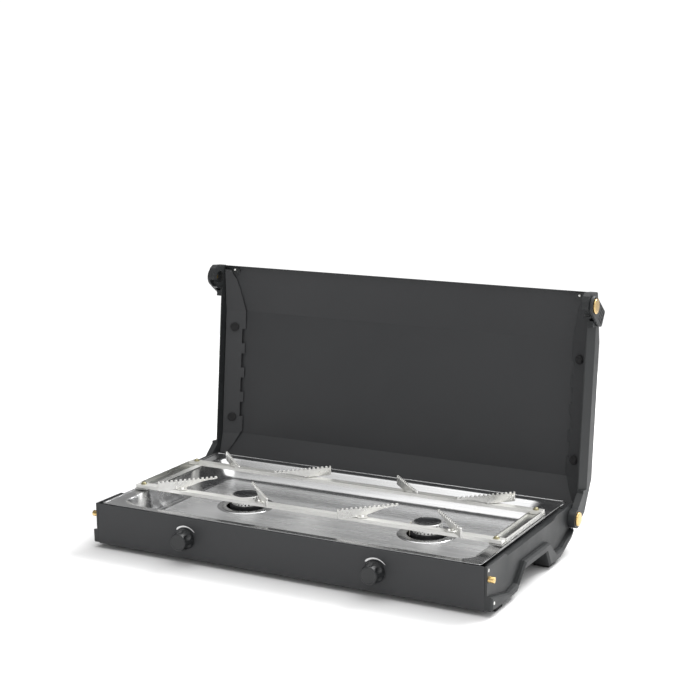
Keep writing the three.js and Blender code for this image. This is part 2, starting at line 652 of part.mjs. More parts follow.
for (const place of bladePlaces) {
  const tipAngle = Math.atan2(-place.along, -place.across);
  const pivot = new THREE.Group();
  pivot.position.set(bladeX(place), bladeY(place), 0);
  pivot.rotation.z = tipAngle;
  stove.add(pivot);
  const support = geometryOf(solid(potSupport()));
  const tabOutward = place.across * place.along < 0;
  const turned = tabOutward ? mirrored(support).rotateZ(Math.PI) : support;
  add(pivot, bladeName(place), turned, MATERIALS.satin);
}

for (const [name, side] of [["right", 1], ["left", -1]]) {
  const dial = new THREE.Group();
  dial.position.set(knobX(side), 0, KNOB.z);
  stove.add(dial);
  add(dial, `knob_${name}`, knob(), MATERIALS.moulded);
  add(dial, `valve_stem_${name}`, valveStem(), MATERIALS.brass);
}

const hingeAxis = new THREE.Group();
hingeAxis.position.set(0, HINGE.y, HINGE.z);
hingeAxis.rotation.x = -LID_OPEN;
stove.add(hingeAxis);
const lid = new THREE.Group();
lid.position.set(0, -HINGE.y, -HINGE.z);
hingeAxis.add(lid);

add(lid, "lid_shell", lidShell(), MATERIALS.powder);
addPair(lid, "lid_cap", lidCap(), MATERIALS.moulded);
addPair(lid, "lid_liner", lidLiner(), MATERIALS.powder);
addPair(lid, "bumper_upper", bumper(BUMPER.ys[0]), MATERIALS.rubber);
addPair(lid, "bumper_lower", bumper(BUMPER.ys[1]), MATERIALS.rubber);
addPair(lid, "lid_screw", lidScrew(), MATERIALS.satin);

const latchAxis = new THREE.Group();
latchAxis.position.set(0, LATCH.y, LATCH.z);
lid.add(latchAxis);
addPair(latchAxis, "latch_pin", latchPin(), MATERIALS.brass);
const lever = new THREE.Group();
lever.rotation.x = LATCH_REST;
latchAxis.add(lever);
addPair(lever, "latch_lever", latchLever(), MATERIALS.moulded);

export default stove;
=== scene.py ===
import math

import bmesh
import bpy
from mathutils import Matrix, Vector
from mathutils.geometry import tessellate_polygon


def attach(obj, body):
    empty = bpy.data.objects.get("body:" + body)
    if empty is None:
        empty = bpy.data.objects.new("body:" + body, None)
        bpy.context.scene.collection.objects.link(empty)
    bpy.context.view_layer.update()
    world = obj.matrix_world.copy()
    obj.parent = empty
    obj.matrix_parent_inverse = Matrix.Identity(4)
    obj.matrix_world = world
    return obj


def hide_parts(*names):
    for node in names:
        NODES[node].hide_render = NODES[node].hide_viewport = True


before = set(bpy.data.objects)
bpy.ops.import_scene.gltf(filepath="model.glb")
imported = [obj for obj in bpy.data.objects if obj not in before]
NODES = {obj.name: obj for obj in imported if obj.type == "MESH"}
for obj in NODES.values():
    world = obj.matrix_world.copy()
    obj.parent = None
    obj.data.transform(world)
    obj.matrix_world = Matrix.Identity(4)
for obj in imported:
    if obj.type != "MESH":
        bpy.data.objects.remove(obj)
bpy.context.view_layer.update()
SIDES = ((1, "right"), (-1, "left"))

# Sizes and places of the stove, in millimetres. Depths are counted from the tray's front edge.
MM = 0.001
ORIGIN_DEPTH = 179.0
HINGE = (295.0, 47.0)  # depth and height of the lid's axis
LID_OPEN = math.radians(96)
BURNER_X, BURNER_Y = 147.4, 153.0
BAR_REACH = 70.0  # from the burners' row to each long bar of the pot frame
RIVET_REACH = 65.0  # from a burner to its supports' rivets, along the bar
RAIL_X = 280.0
KNOB_X, KNOB_SHIFT, KNOB_Z = 148.2, -2.8, 36.5
KNOB_BACK, KNOB_FACE = -3.0, -22.0
MARK_Y, MARK_Z, MARK_RADIUS = -2.12, 34.4, 19.8
STUD_Y, STUD_Z = 3.0, 50.0
LATCH_Y, LATCH_Z = -6.5, 59.5
LATCH_REST = math.radians(61.5)
TRAY_HALF, TRAY_DEPTH, TRAY_CORNER = 294.4, 304.0, 4.0
WELL_HALF, WELL_FRONT, WELL_REAR, WELL_CORNER = 276.0, 12.0, 290.0, 26.0
FLOOR_Z = 42.0
LINING_X, LINING_Z, LINING_TILT = 303.6, 81.0, math.atan2(14.4, 27.6)
BUMPER_X = 290.5

SHARP = math.radians(32)  # edges that turn more than this are shaded as creases
POINT = 0.001  # a ring this small closes to one point when build() merges doubles


def at(x, y, z):
    """A point given in the stove's own millimetres, in the frame's metres."""
    return Vector((x * MM, (y - ORIGIN_DEPTH) * MM, z * MM))


def opened(x, y, z):
    """Where a point of the closed lid is once the lid is open."""
    dy, dz = y - HINGE[0], z - HINGE[1]
    c, s = math.cos(LID_OPEN), math.sin(LID_OPEN)
    return x, HINGE[0] + dy * c + dz * s, HINGE[1] - dy * s + dz * c


# ---- Camera ----
def add_camera():
    azimuth, elevation, roll = math.radians(28.268), math.radians(11.617), math.radians(-0.504)
    back = Vector((
        math.sin(azimuth) * math.cos(elevation),
        -math.cos(azimuth) * math.cos(elevation),
        math.sin(elevation),
    ))
    data = bpy.data.cameras.new("camera")
    data.sensor_width = 36
    data.lens = 80.70171
    data.clip_start, data.clip_end = 0.05, 50
    camera = bpy.data.objects.new("camera", data)
    bpy.context.scene.collection.objects.link(camera)
    camera.location = at(110.28, 0, 327.30) + back * 2.0028
    turn = (-back).to_track_quat("-Z", "Y").to_matrix() @ Matrix.Rotation(roll, 3, "Z")
    camera.rotation_euler = turn.to_euler()
    bpy.context.scene.camera = camera


add_camera()


# ---- Materials ----
def material(name):
    made = bpy.data.materials.new(name)
    made.use_nodes = True
    return made, made.node_tree.nodes["Principled BSDF"], made.node_tree


def noise(tree, scale, detail=2.0, rough=0.5):
    """Noise over the object's own coordinates, with features per metre given along each axis."""
    coords = tree.nodes.new("ShaderNodeTexCoord")
    mapping = tree.nodes.new("ShaderNodeMapping")
    mapping.inputs["Scale"].default_value = scale
    tree.links.new(coords.outputs["Object"], mapping.inputs["Vector"])
    made = tree.nodes.new("ShaderNodeTexNoise")
    made.inputs["Scale"].default_value = 1.0
    made.inputs["Detail"].default_value = detail
    made.inputs["Roughness"].default_value = rough
    tree.links.new(mapping.outputs["Vector"], made.inputs["Vector"])
    return made.outputs["Fac"]


def spread(tree, value, low, high, start=0.3, end=0.7):
    ramp = tree.nodes.new("ShaderNodeMapRange")
    ramp.inputs["From Min"].default_value = start
    ramp.inputs["From Max"].default_value = end
    ramp.inputs["To Min"].default_value = low
    ramp.inputs["To Max"].default_value = high
    tree.links.new(value, ramp.inputs["Value"])
    return ramp.outputs["Result"]


def surface(name, dark, light, rough, metal, cloud, grain, bump, height, coat=0.0, specular=0.5):
    """A finish whose colour drifts with a wide noise, and whose gloss and bump follow a fine one."""
    made, shader, tree = material(name)
    wide = noise(tree, cloud, 3.0)
    fine = noise(tree, grain, 3.0)
    mix = tree.nodes.new("ShaderNodeMix")
    mix.data_type = "RGBA"
    mix.inputs[6].default_value = (*dark, 1)
    mix.inputs[7].default_value = (*light, 1)
    blend = tree.nodes.new("ShaderNodeMath")
    blend.operation = "MULTIPLY_ADD"
    blend.inputs[1].default_value = 0.5
    tree.links.new(spread(tree, fine, 0.0, 1.0), blend.inputs[0])
    tree.links.new(spread(tree, wide, 0.0, 0.5), blend.inputs[2])
    tree.links.new(blend.outputs[0], mix.inputs[0])
    tree.links.new(mix.outputs[2], shader.inputs["Base Color"])
    tree.links.new(spread(tree, wide, rough[0], rough[1]), shader.inputs["Roughness"])
    relief = tree.nodes.new("ShaderNodeBump")
    relief.inputs["Strength"].default_value = bump
    relief.inputs["Distance"].default_value = height
    tree.links.new(fine, relief.inputs["Height"])
    tree.links.new(relief.outputs["Normal"], shader.inputs["Normal"])
    shader.inputs["Metallic"].default_value = metal
    shader.inputs["Coat Weight"].default_value = coat
    shader.inputs["Coat Roughness"].default_value = 0.12
    shader.inputs["Specular IOR Level"].default_value = specular
    return made


LOOKS = {
    "powder_coat": surface(
        "powder_coat", (0.031, 0.032, 0.034), (0.039, 0.040, 0.042), (0.5, 0.62), 0.0,
        (14, 14, 14), (1300, 1300, 1300), 0.22, 0.00012, specular=0.4,
    ),
    "moulded_ends": surface(
        "moulded_ends", (0.017, 0.0185, 0.0195), (0.024, 0.026, 0.027), (0.42, 0.55), 0.0,
        (20, 20, 20), (2100, 2100, 2100), 0.18, 0.0001, specular=0.45,
    ),
    "knob_plastic": surface(
        "knob_plastic", (0.012, 0.013, 0.014), (0.018, 0.019, 0.02), (0.38, 0.5), 0.0,
        (60, 60, 60), (2600, 2600, 2600), 0.16, 0.00008,
    ),
    "rubber": surface(
        "rubber", (0.014, 0.014, 0.014), (0.022, 0.022, 0.023), (0.75, 0.9), 0.0,
        (50, 50, 50), (3000, 3000, 3000), 0.35, 0.00012, specular=0.3,
    ),
    "tray_steel": surface(
        "tray_steel", (0.58, 0.585, 0.59), (0.72, 0.72, 0.72), (0.17, 0.3), 1.0,
        (5, 60, 60), (12, 500, 500), 0.05, 0.00002,
    ),
    # Painted sheen: the tray's floor is a lighter, less metallic copy of the tray steel, so the floor looks
    # bright as if it mirrored light.
    "tray_floor_painted_sheen": surface(
        "tray_floor_painted_sheen", (0.60, 0.605, 0.61), (0.80, 0.80, 0.80), (0.22, 0.32), 0.62,
        (4, 50, 50), (10, 700, 700), 0.08, 0.00002,
    ),
    "frame_steel": surface(
        "frame_steel", (0.84, 0.835, 0.80), (0.93, 0.925, 0.90), (0.3, 0.42), 0.6,
        (12, 120, 120), (40, 1500, 1500), 0.2, 0.00004,
    ),
    "rail_steel": surface(
        "rail_steel", (0.60, 0.60, 0.58), (0.76, 0.76, 0.73), (0.22, 0.34), 1.0,
        (60, 12, 60), (900, 40, 900), 0.2, 0.00004,
    ),
    "blade_steel": surface(
        "blade_steel", (0.74, 0.735, 0.71), (0.88, 0.875, 0.85), (0.24, 0.34), 1.0,
        (60, 60, 60), (900, 900, 900), 0.08, 0.00003,
    ),
    "burner_metal": surface(
        "burner_metal", (0.62, 0.62, 0.61), (0.80, 0.80, 0.78), (0.24, 0.38), 0.75,
        (40, 40, 40), (700, 700, 1200), 0.2, 0.00005,
    ),
    "burner_dish": surface(
        "burner_dish", (0.075, 0.08, 0.085), (0.16, 0.165, 0.17), (0.16, 0.3), 0.85,
        (30, 200, 90), (60, 1200, 900), 0.2, 0.00004,
    ),
    # Near-black: painted shade for the hollow inside of the burner heads; the burner bodies take it too.
    "burner_inside": surface(
        "burner_inside", (0.008, 0.008, 0.009), (0.02, 0.02, 0.021), (0.6, 0.8), 0.4,
        (60, 60, 60), (900, 900, 900), 0.3, 0.0001,
    ),
    "brass": surface(
        "brass", (0.62, 0.42, 0.16), (0.80, 0.60, 0.29), (0.2, 0.34), 1.0,
        (60, 60, 60), (900, 1400, 1400), 0.18, 0.00004,
    ),
    "old_brass": surface(
        "old_brass", (0.36, 0.33, 0.20), (0.56, 0.52, 0.36), (0.3, 0.45), 1.0,
        (120, 120, 120), (1200, 1200, 1200), 0.25, 0.00005,
    ),
    "ceramic": surface(
        "ceramic", (0.70, 0.67, 0.60), (0.84, 0.82, 0.76), (0.2, 0.35), 0.0,
        (90, 90, 90), (900, 900, 900), 0.12, 0.00005, coat=0.4,
    ),
    "print_white": surface(
        "print_white", (0.78, 0.78, 0.78), (0.9, 0.9, 0.9), (0.4, 0.55), 0.0,
        (80, 80, 80), (1300, 1300, 1300), 0.2, 0.00008,
    ),
}


# ---- Mesh helpers: everything below is given in millimetres ----
def build(name, verts, faces, body, look, replaces=(), place=None, sheet=0.0):
    """One piece from points in millimetres. place turns each point before it goes into the frame."""
    spots = [place(*p) if place else p for p in verts]
    mesh = bpy.data.meshes.new(name)
    mesh.from_pydata([at(*p) for p in spots], [], faces)
    shape = bmesh.new()
    shape.from_mesh(mesh)
    bmesh.ops.remove_doubles(shape, verts=shape.verts, dist=0.00001)
    bmesh.ops.recalc_face_normals(shape, faces=shape.faces)
    for face in shape.faces:
        face.smooth = True
    for edge in shape.edges:
        if len(edge.link_faces) == 2 and edge.calc_face_angle(0.0) > SHARP:
            edge.smooth = False
    shape.to_mesh(mesh)
    shape.free()
    mesh.materials.append(LOOKS[look])
    piece = bpy.data.objects.new(name, mesh)
    bpy.context.scene.collection.objects.link(piece)
    if sheet:
        solidify = piece.modifiers.new("sheet", "SOLIDIFY")
        solidify.thickness = sheet * MM
        solidify.offset = -1
    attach(piece, body)
    if replaces:
        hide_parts(*replaces)
    return piece


def add_bevel(piece, width, segments=2):
    modifier = piece.modifiers.new("edges", "BEVEL")
    modifier.width = width * MM
    modifier.segments = segments
    modifier.limit_method = "ANGLE"
    modifier.angle_limit = math.radians(35)


def skin(rings, closed=True, caps=(False, False)):
    """Quads between rings that all have the same number of points."""
    count = len(rings[0])
    verts = [p for ring in rings for p in ring]
    faces = []
    for row in range(len(rings) - 1):
        for i in range(count if closed else count - 1):
            a, b = row * count + i, row * count + (i + 1) % count
            faces.append((a, b, b + count, a + count))
    if caps[0]:
        faces.append(tuple(range(count)))
    if caps[1]:
        faces.append(tuple(range(len(verts) - count, len(verts))))
    return verts, faces


def merge(*shapes):
    verts, faces = [], []
    for more_verts, more_faces in shapes:
        start = len(verts)
        verts += more_verts
        faces += [tuple(i + start for i in face) for face in more_faces]
    return verts, faces


def circle(radius, z, x=0.0, y=0.0, sides=64):
    return [
        (x + radius * math.cos(2 * math.pi * i / sides), y + radius * math.sin(2 * math.pi * i / sides), z)
        for i in range(sides)
    ]


def lathe(profile, sides=64):
    """(radius, height) pairs turned about the z axis, and closed where the radius is zero."""
    return skin([circle(max(radius, POINT), height, sides=sides) for radius, height in profile])


def moved(shape, place):
    verts, faces = shape
    return [place(*p) for p in verts], faces


def along_x(side, y, z):
    """Turns a lathe's z axis out to the stove's right (side 1) or left (side -1)."""
    return lambda a, b, c: (side * c, y + a, z + b)


def rounded(x0, x1, y0, y1, radius, z, steps=12):
    """A ring round a rectangle with round corners, with extra points along its straight sides."""
    left, right, front, rear = x0 + radius, x1 - radius, y0 + radius, y1 - radius
    centres = [(right, rear), (left, rear), (left, front), (right, front)]
    ring = []
    for corner, (cx, cy) in enumerate(centres):
        for i in range(steps + 1):
            angle = math.pi / 2 * (corner + i / steps)
            ring.append((cx + radius * math.cos(angle), cy + radius * math.sin(angle), z))
        nx, ny = centres[(corner + 1) % 4]
        angle = math.pi / 2 * (corner + 1)
        start = ring[-1]
        end = (nx + radius * math.cos(angle), ny + radius * math.sin(angle), z)
        for t in (0.02, 0.25, 0.5, 0.75, 0.98):
            ring.append(tuple(a + (b - a) * t for a, b in zip(start, end)))
    return ring


# ---- Drip tray ----
def add_tray():
    """A rolled rim, a ledge, a sloping wall and a flat floor with a shallow collar round each burner."""
    rim = [
        (0.0, 67.0), (0.0, 68.0), (0.25, 68.35), (0.8, 68.5),
        (2.2, 68.5), (2.8, 68.3), (3.4, 67.7), (4.2, 67.5),
    ]
    rings = []
    for inset, z in rim:
        half = TRAY_HALF - inset
        corner = max(TRAY_CORNER - inset * 0.6, 1.4)
        rings.append(rounded(-half, half, inset, TRAY_DEPTH - inset, corner, z))
    wall = [
        (-1.2, 67.5), (0.4, 67.4), (1.6, 67.0), (2.8, 66.2), (3.8, 65.0), (8.0, 59.9), (12.5, 54.5),
        (16.6, 49.5), (18.6, 47.2), (20.8, 45.2), (23.4, 43.6), (26.2, 42.6), (29.2, 42.1), (32.0, FLOOR_Z),
    ]
    for inset, z in wall:
        half = WELL_HALF - inset
        corner = WELL_CORNER - inset * 0.5
        rings.append(rounded(-half, half, WELL_FRONT + inset, WELL_REAR - inset, corner, z))
    collar = [
        (43.0, FLOOR_Z), (42.3, 42.1), (41.8, 42.4), (41.3, 42.9), (40.7, 43.1), (39.6, 43.2),
        (30.6, 43.2), (30.0, 43.1), (29.6, 42.8), (29.5, 42.3), (29.5, 41.2),
    ]
    shapes = [skin(rings)]
    floor_loops = [rings[-1]]
    for x in (-BURNER_X, BURNER_X):
        collar_rings = [circle(radius, z, x, BURNER_Y) for radius, z in collar]
        shapes.append(skin(collar_rings))
        floor_loops.append(collar_rings[0])
    triangles = tessellate_polygon([[Vector(p) for p in loop] for loop in floor_loops])
    shapes.append(([p for loop in floor_loops for p in loop], [tuple(t) for t in triangles]))
    verts, faces = merge(*shapes)
    tray = build(
        "drip_tray_pressed", verts, faces, "base", "tray_steel", ["drip_tray"], sheet=0.6,
    )
    # The flat floor faces take the lighter copy of the steel, a painted sheen.
    tray.data.materials.append(LOOKS["tray_floor_painted_sheen"])
    for face in tray.data.polygons:
        if face.center.z < (FLOOR_Z + 0.05) * MM and face.normal.z > 0.99:
            face.material_index = 1


# ---- Burners ----
def perforated_band(radius, bottom, rows, row_height, columns, hole):
    """A band with staggered round holes. Each cell has 16 points, and so has its hole."""
    verts, faces = [], []

    def wrap(u, v, r):
        angle = u / columns * 2 * math.pi
        verts.append((r * math.cos(angle), r * math.sin(angle), v))
        return len(verts) - 1

    width = 2 * math.pi * radius / columns
    for row in range(rows):
        shift = 0.5 * (row % 2)
        for column in range(columns):
            u0, v0 = column + shift, bottom + row * row_height
            edge, rim, back = [], [], []
            for i in range(16):
                side, step = divmod(i, 4)
                t = step / 4
                u, v = [(t, 0), (1, t), (1 - t, 1), (0, 1 - t)][side]
                edge.append(wrap(u0 + u, v0 + v * row_height, radius))
                angle = math.atan2((v - 0.5) * row_height, (u - 0.5) * width)
                hu = 0.5 + hole * math.cos(angle) / width
                hv = v0 + row_height / 2 + hole * math.sin(angle)
                rim.append(wrap(u0 + hu, hv, radius))
                back.append(wrap(u0 + hu, hv, radius - 1.2))
            for i in range(16):
                j = (i + 1) % 16
                faces.append((edge[i], edge[j], rim[j], rim[i]))
                faces.append((rim[i], rim[j], back[j], back[i]))
    return verts, faces


def add_burner(name, x):
    """A perforated head with a hollow top, round a near-black core that paints the shade inside the head."""
    def place(a, b, c):
        return x + a, BURNER_Y + b, c

    band = perforated_band(21.5, 46.8, 4, 3.05, 26, 1.2)
    lip = lathe([
        (21.5, 59.0), (21.5, 59.3), (21.25, 60.0), (20.6, 60.45), (19.8, 60.5), (19.0, 60.2), (18.6, 59.7),
    ])
    verts, faces = moved(merge(band, lip), place)
    build(
        f"burner_head_{name}_perforated", verts, faces, "base", "burner_metal",
        [f"burner_head_{name}"],
    )
    dish = lathe([(0, 57.6), (4, 57.65), (9, 57.95), (13, 58.5), (16.4, 59.3), (18.6, 60.1), (19.2, 60.3)])
    verts, faces = moved(dish, place)
    build(f"burner_dish_{name}", verts, faces, "base", "burner_dish", sheet=0.5)
    # Painted shade: a near-black solid inside the band, seen through its holes and round its foot, stands
    # for the dark hollow of the head.
    core = lathe([
        (0, 57.3), (19.6, 57.3), (19.6, 46.6), (21.2, 46.5), (23.6, 46.3), (24.3, 45.8), (24.3, 44.6),
        (0, 44.6),
    ], 48)
    verts, faces = moved(core, place)
    build(f"burner_shade_core_{name}", verts, faces, "base", "burner_inside")


# ---- Knobs and their printed marks ----
def knob_radius(depth):
    """The tapered knob's radius at a depth in front of its back, before the flutes are cut."""
    profile = [(0.0, 14.2), (0.7, 14.8), (1.6, 15.0), (3.4, 14.7), (17.4, 12.4), (18.4, 12.0), (19.0, 11.2)]
    for (d0, r0), (d1, r1) in zip(profile, profile[1:]):
        if depth <= d1:
            return r0 + (r1 - r0) * (depth - d0) / (d1 - d0)
    return profile[-1][1]


def add_knob(name, x):
    """A tapered knob with six oval hollows in its side and a shallow recess in its face."""
    sides, flutes = 144, 6
    turns = [2 * math.pi * i / sides for i in range(sides)]
    depths = [0.0, 0.7, 1.6, 3.4] + [3.4 + 14 * (i + 1) / 24 for i in range(24)] + [18.0, 18.5, 18.8, 19.0]
    rings = []
    for depth in depths:
        ring = []
        for angle in turns:
            radius = knob_radius(depth)
            gap = (angle * flutes / (2 * math.pi) - 0.5) % 1.0
            gap = min(gap, 1 - gap) * 2 * math.pi / flutes * radius
            hollow = 1 - (gap / 4.3) ** 2 - ((depth - 11.2) / 6.6) ** 2
            radius -= 2.9 * max(hollow, 0.0) ** 0.8
            ring.append((x + radius * math.cos(angle), KNOB_BACK - depth, KNOB_Z + radius * math.sin(angle)))
        rings.append(ring)
    for radius, sink in ((10.4, 0.0), (9.9, 0.35), (5.0, 0.35), (POINT, 0.35)):
        rings.append([
            (x + radius * math.cos(angle), KNOB_FACE + sink, KNOB_Z + radius * math.sin(angle))
            for angle in turns
        ])
    verts, faces = skin(rings, caps=(True, False))
    node = f"knob_{name}"
    build(f"{node}_moulded", verts, faces, node, "knob_plastic", [node])


def add_mark(name, x):
    """The printed arc over a knob: thick and round at its left end, thin at its right end."""
    steps = 36
    outer, inner = [], []
    for i in range(steps + 1):
        t = i / steps
        angle = math.radians(137 - 96 * t)
        width = 1.15 * (1 - t) ** 0.7 + 0.25
        width *= min(1.0, math.sqrt(t * 14 + 0.05))
        for edge, radius in ((outer, MARK_RADIUS + width), (inner, MARK_RADIUS - width)):
            edge.append((x + radius * math.cos(angle), MARK_Y, MARK_Z + radius * math.sin(angle)))
    verts, faces = skin([outer, inner], closed=False)
    build(f"flame_mark_{name}", verts, faces, "base", "print_white")


# ---- Brass caps, studs and screws ----
def add_latch_stud(side, name):
    """A turned stud with a waist, which the latch's lug comes up under."""
    stud = lathe([
        (0, 300.5), (2.5, 300.5), (2.5, 303.9), (4.0, 303.9), (4.25, 304.2), (4.25, 305.6), (3.95, 305.8),
        (3.95, 306.2), (4.25, 306.4), (4.25, 311.2), (4.0, 311.8), (3.4, 312.0), (1.4, 312.0), (1.1, 311.6),
        (0, 311.6),
    ], 40)
    verts, faces = moved(stud, along_x(side, STUD_Y, STUD_Z))
    build(f"latch_stud_{name}_turned", verts, faces, "base", "brass", [f"latch_stud_{name}"])


def add_hinge_pin(side, name):
    pin = lathe([
        (0, 294), (5, 294), (5, 315.3), (9.6, 315.3), (10, 315.7), (10, 316.8), (9.7, 317.5), (8.8, 318.0),
        (3.0, 318.2), (0, 318.25),
    ], 56)
    verts, faces = moved(pin, along_x(side, *HINGE))
    build(f"hinge_pin_{name}_turned", verts, faces, "base", "brass", [f"hinge_pin_{name}"])


def add_latch_pin(side, name):
    cap = lathe([
        (0, 309.4), (2.9, 309.4), (3.4, 309.8), (3.4, 311.2), (3.9, 311.2), (3.9, 319.1), (10.3, 319.1),
        (10.8, 319.5), (10.8, 320.4), (10.4, 321.0), (9.4, 321.25), (4.0, 321.45), (0, 321.5),
    ], 64)
    verts, faces = moved(cap, along_x(side, LATCH_Y, LATCH_Z))
    build(
        f"latch_pin_{name}_turned", verts, faces, "lid", "brass", [f"latch_pin_{name}"],
        place=opened,
    )


def add_frame_screw(side, name, row, y):
    """A domed screw with a washer, through a long bar of the pot frame into its end rail."""
    def place(a, b, c):
        return side * RAIL_X + a, y + b, c

    washer = lathe([(2.2, 76.5), (4.3, 76.5), (4.5, 76.7), (4.5, 77.1), (4.3, 77.3), (2.2, 77.3)], 40)
    head = lathe([
        (0, 70.5), (1.9, 70.5), (1.9, 77.3), (3.1, 77.3), (3.2, 77.6), (3.1, 78.3), (2.6, 79.1),
        (1.7, 79.6), (0.9, 79.7), (0.8, 79.0), (0, 79.0),
    ], 36)
    verts, faces = moved(merge(washer, head), place)
    node = f"frame_screw_{row}_{name}"
    build(f"{node}_detail", verts, faces, "base", "old_brass", [node])


def add_side_screw(side, name, index, x, y, z):
    """A small screw head on the side cap's front corner, low enough to pass inside the shut lid."""
    screw = lathe([
        (0, x), (2.2, x), (2.2, x + 0.6), (1.8, x + 0.9), (1.0, x + 1.0), (0.9, x + 0.5), (0, x + 0.5),
    ], 28)
    verts, faces = moved(screw, along_x(side, y, z))
    build(f"side_screw_{name}_{index}", verts, faces, "base", "frame_steel")


def add_round_details():
    for side, name in SIDES:
        add_latch_stud(side, name)
        add_hinge_pin(side, name)
        add_latch_pin(side, name)
        add_frame_screw(side, name, "front", BURNER_Y - BAR_REACH)
        add_frame_screw(side, name, "rear", BURNER_Y + BAR_REACH)
        add_side_screw(side, name, 0, 303.0, 3.4, 61.4)
        add_side_screw(side, name, 1, 310.6, 4.2, 19.0)


# ---- Latch levers ----
def lever_outline(inset=0.0):
    """The lever's outline, (along, across) from its pivot, drawn in by the inset."""
    hub = 14.5 - inset
    points = []
    for i in range(19):
        angle = math.radians(84 + i * (190 / 18))
        points.append((hub * math.cos(angle), hub * math.sin(angle)))
    corners = [
        (10, -15.2), (31, -16.0), (38, -14.3), (41.2, -12.6), (42.5, -10.4), (42.5, 9.4), (41.9, 11.0),
        (40.2, 12.0), (20, 13.4),
    ]
    for a, b in corners:
        length = math.hypot(a - 20, b)
        points.append((a - inset * (a - 20) / length * 1.1, b - inset * b / length * 1.1))
    return points


def bar(along, across, x):
    """A plain block between three pairs of limits."""
    base = [(along[0], across[0]), (along[1], across[0]), (along[1], across[1]), (along[0], across[1])]
    return skin([[(a, b, level) for a, b in base] for level in x], caps=(True, True))


def add_latches():
    """Each lever is a rounded plate with an inward lug and four finger ridges in its hollow face."""
    levels = [
        (0.6, 314.4), (0.0, 315.0), (0.0, 318.2), (0.25, 318.6), (0.7, 318.8),
        (1.9, 318.8), (2.3, 318.6), (2.6, 317.9),
    ]
    rings = [[(a, b, x) for a, b in lever_outline(inset)] for inset, x in levels]
    blocks = [skin(rings, caps=(True, True)), bar((18.5, 22), (-5, 5), (308.8, 315.2))]
    for across in (-7.5, -2.5, 2.5, 7.5):
        blocks.append(bar((26, 39), (across - 0.7, across + 0.7), (317.6, 318.5)))
    verts, faces = merge(*blocks)
    for side, name in SIDES:
        def place(along, across, x, side=side):
            y = LATCH_Y + along * math.cos(LATCH_REST) - across * math.sin(LATCH_REST)
            z = LATCH_Z + along * math.sin(LATCH_REST) + across * math.cos(LATCH_REST)
            return opened(side * x, y, z)

        build(
            f"latch_lever_{name}_moulded", verts, faces, f"latch_{name}", "moulded_ends",
            [f"latch_lever_{name}"], place=place,
        )


# ---- Serrated pot supports ----
def blade_outline():
    """(along, height) round one support, its tip at high along, with round notches in the top edge."""
    tail, tip, base, top = -34.6, 53.0, 77.0, 91.0
    teeth, deep = 13, 2.7
    pitch = (tip - tail - 3.0) / teeth
    points = [
        (tail, base), (4, base), (6.4, base + 0.4), (7.6, base + 1.6), (9.4, base + 2.6), (13, base + 3.2),
        (18, base + 4.6), (24, base + 6.6), (31, base + 8.4), (40, base + 9.6), (tip - 3, base + 10.2),
        (tip - 0.8, base + 10.8), (tip, top - 2.2), (tip - 0.2, top - 0.9), (tip - 1.0, top),
    ]
    for i in range(teeth):
        middle = tip - 1.6 - (i + 0.62) * pitch
        for step in range(7):
            angle = math.pi * step / 6
            points.append((middle + 0.3 * pitch * math.cos(angle), top - deep * math.sin(angle)))
    points += [(tail + 0.6, top), (tail, top - 0.6)]
    return points


def pot_support():
    """A serrated plate beside its rivet, with the tab that the rivet holds to the bar."""
    plane, half = 3.6, 1.25
    levels = ((plane - half, 0.25), (plane - 1.0, 0.0), (plane + 1.0, 0.0), (plane + half, 0.25))
    rings = []
    for b, inset in levels:
        rings.append([(a - inset * (a - 10) / 45, b, h - inset * (h - 84) / 7) for a, h in blade_outline()])
    base = [(-6.6, -4.6), (6.6, -4.6), (7, -4.2), (7, 3.6), (-7, 3.6), (-7, -4.2)]
    tab = skin([[(a, b, h) for a, b in base] for h in (76.8, 77.9)], caps=(True, True))
    rivet = lathe([
        (0, 71.6), (2.1, 71.6), (2.1, 77.5), (3.4, 77.5), (3.3, 78.4), (2.7, 79.2), (1.5, 79.7), (0, 79.7),
    ], 28)
    return merge(skin(rings, caps=(True, True)), tab, rivet)


def add_blades():
    """Four supports round each burner, on the diagonals through it."""
    verts, faces = pot_support()
    for side, burner in SIDES:
        for across, hand in ((1, "b"), (-1, "a")):
            for along, row in ((1, "rear"), (-1, "front")):
                turn = math.atan2(-along, -across)
                flip = 1 if across * along > 0 else -1
                c, s = math.cos(turn), math.sin(turn)
                x0 = side * BURNER_X + across * RIVET_REACH
                y0 = BURNER_Y + along * BAR_REACH

                def place(a, b, h, c=c, s=s, x0=x0, y0=y0, flip=flip):
                    return x0 + a * c - flip * b * s, y0 + a * s + flip * b * c, h

                node = f"pot_support_{burner}_{row}_{hand}"
                build(f"{node}_cut", verts, faces, node, "blade_steel", [node], place=place)


# ---- Rubber bumpers ----
def add_bumpers():
    """Buttons under the lid's slanted linings, square to them."""
    c, s = math.cos(LINING_TILT), math.sin(LINING_TILT)
    top = LINING_Z + (LINING_X - BUMPER_X) * math.tan(LINING_TILT) - 1 / c - 0.3
    verts, faces = lathe([
        (0, 0), (6.7, 0), (6.75, -2.2), (6.4, -3.1), (5.6, -3.55), (4.2, -3.6), (3.6, -3.2), (0, -3.1),
    ], 48)
    for side, name in SIDES:
        for row, y in (("upper", 73.5), ("lower", 218.8)):
            def place(a, b, h, side=side, y=y):
                return opened(side * (BUMPER_X + a * c + h * s), y + b, top - a * s + h * c)

            node = f"bumper_{row}_{name}"
            build(f"{node}_moulded", verts, faces, "lid", "rubber", [node], place=place)


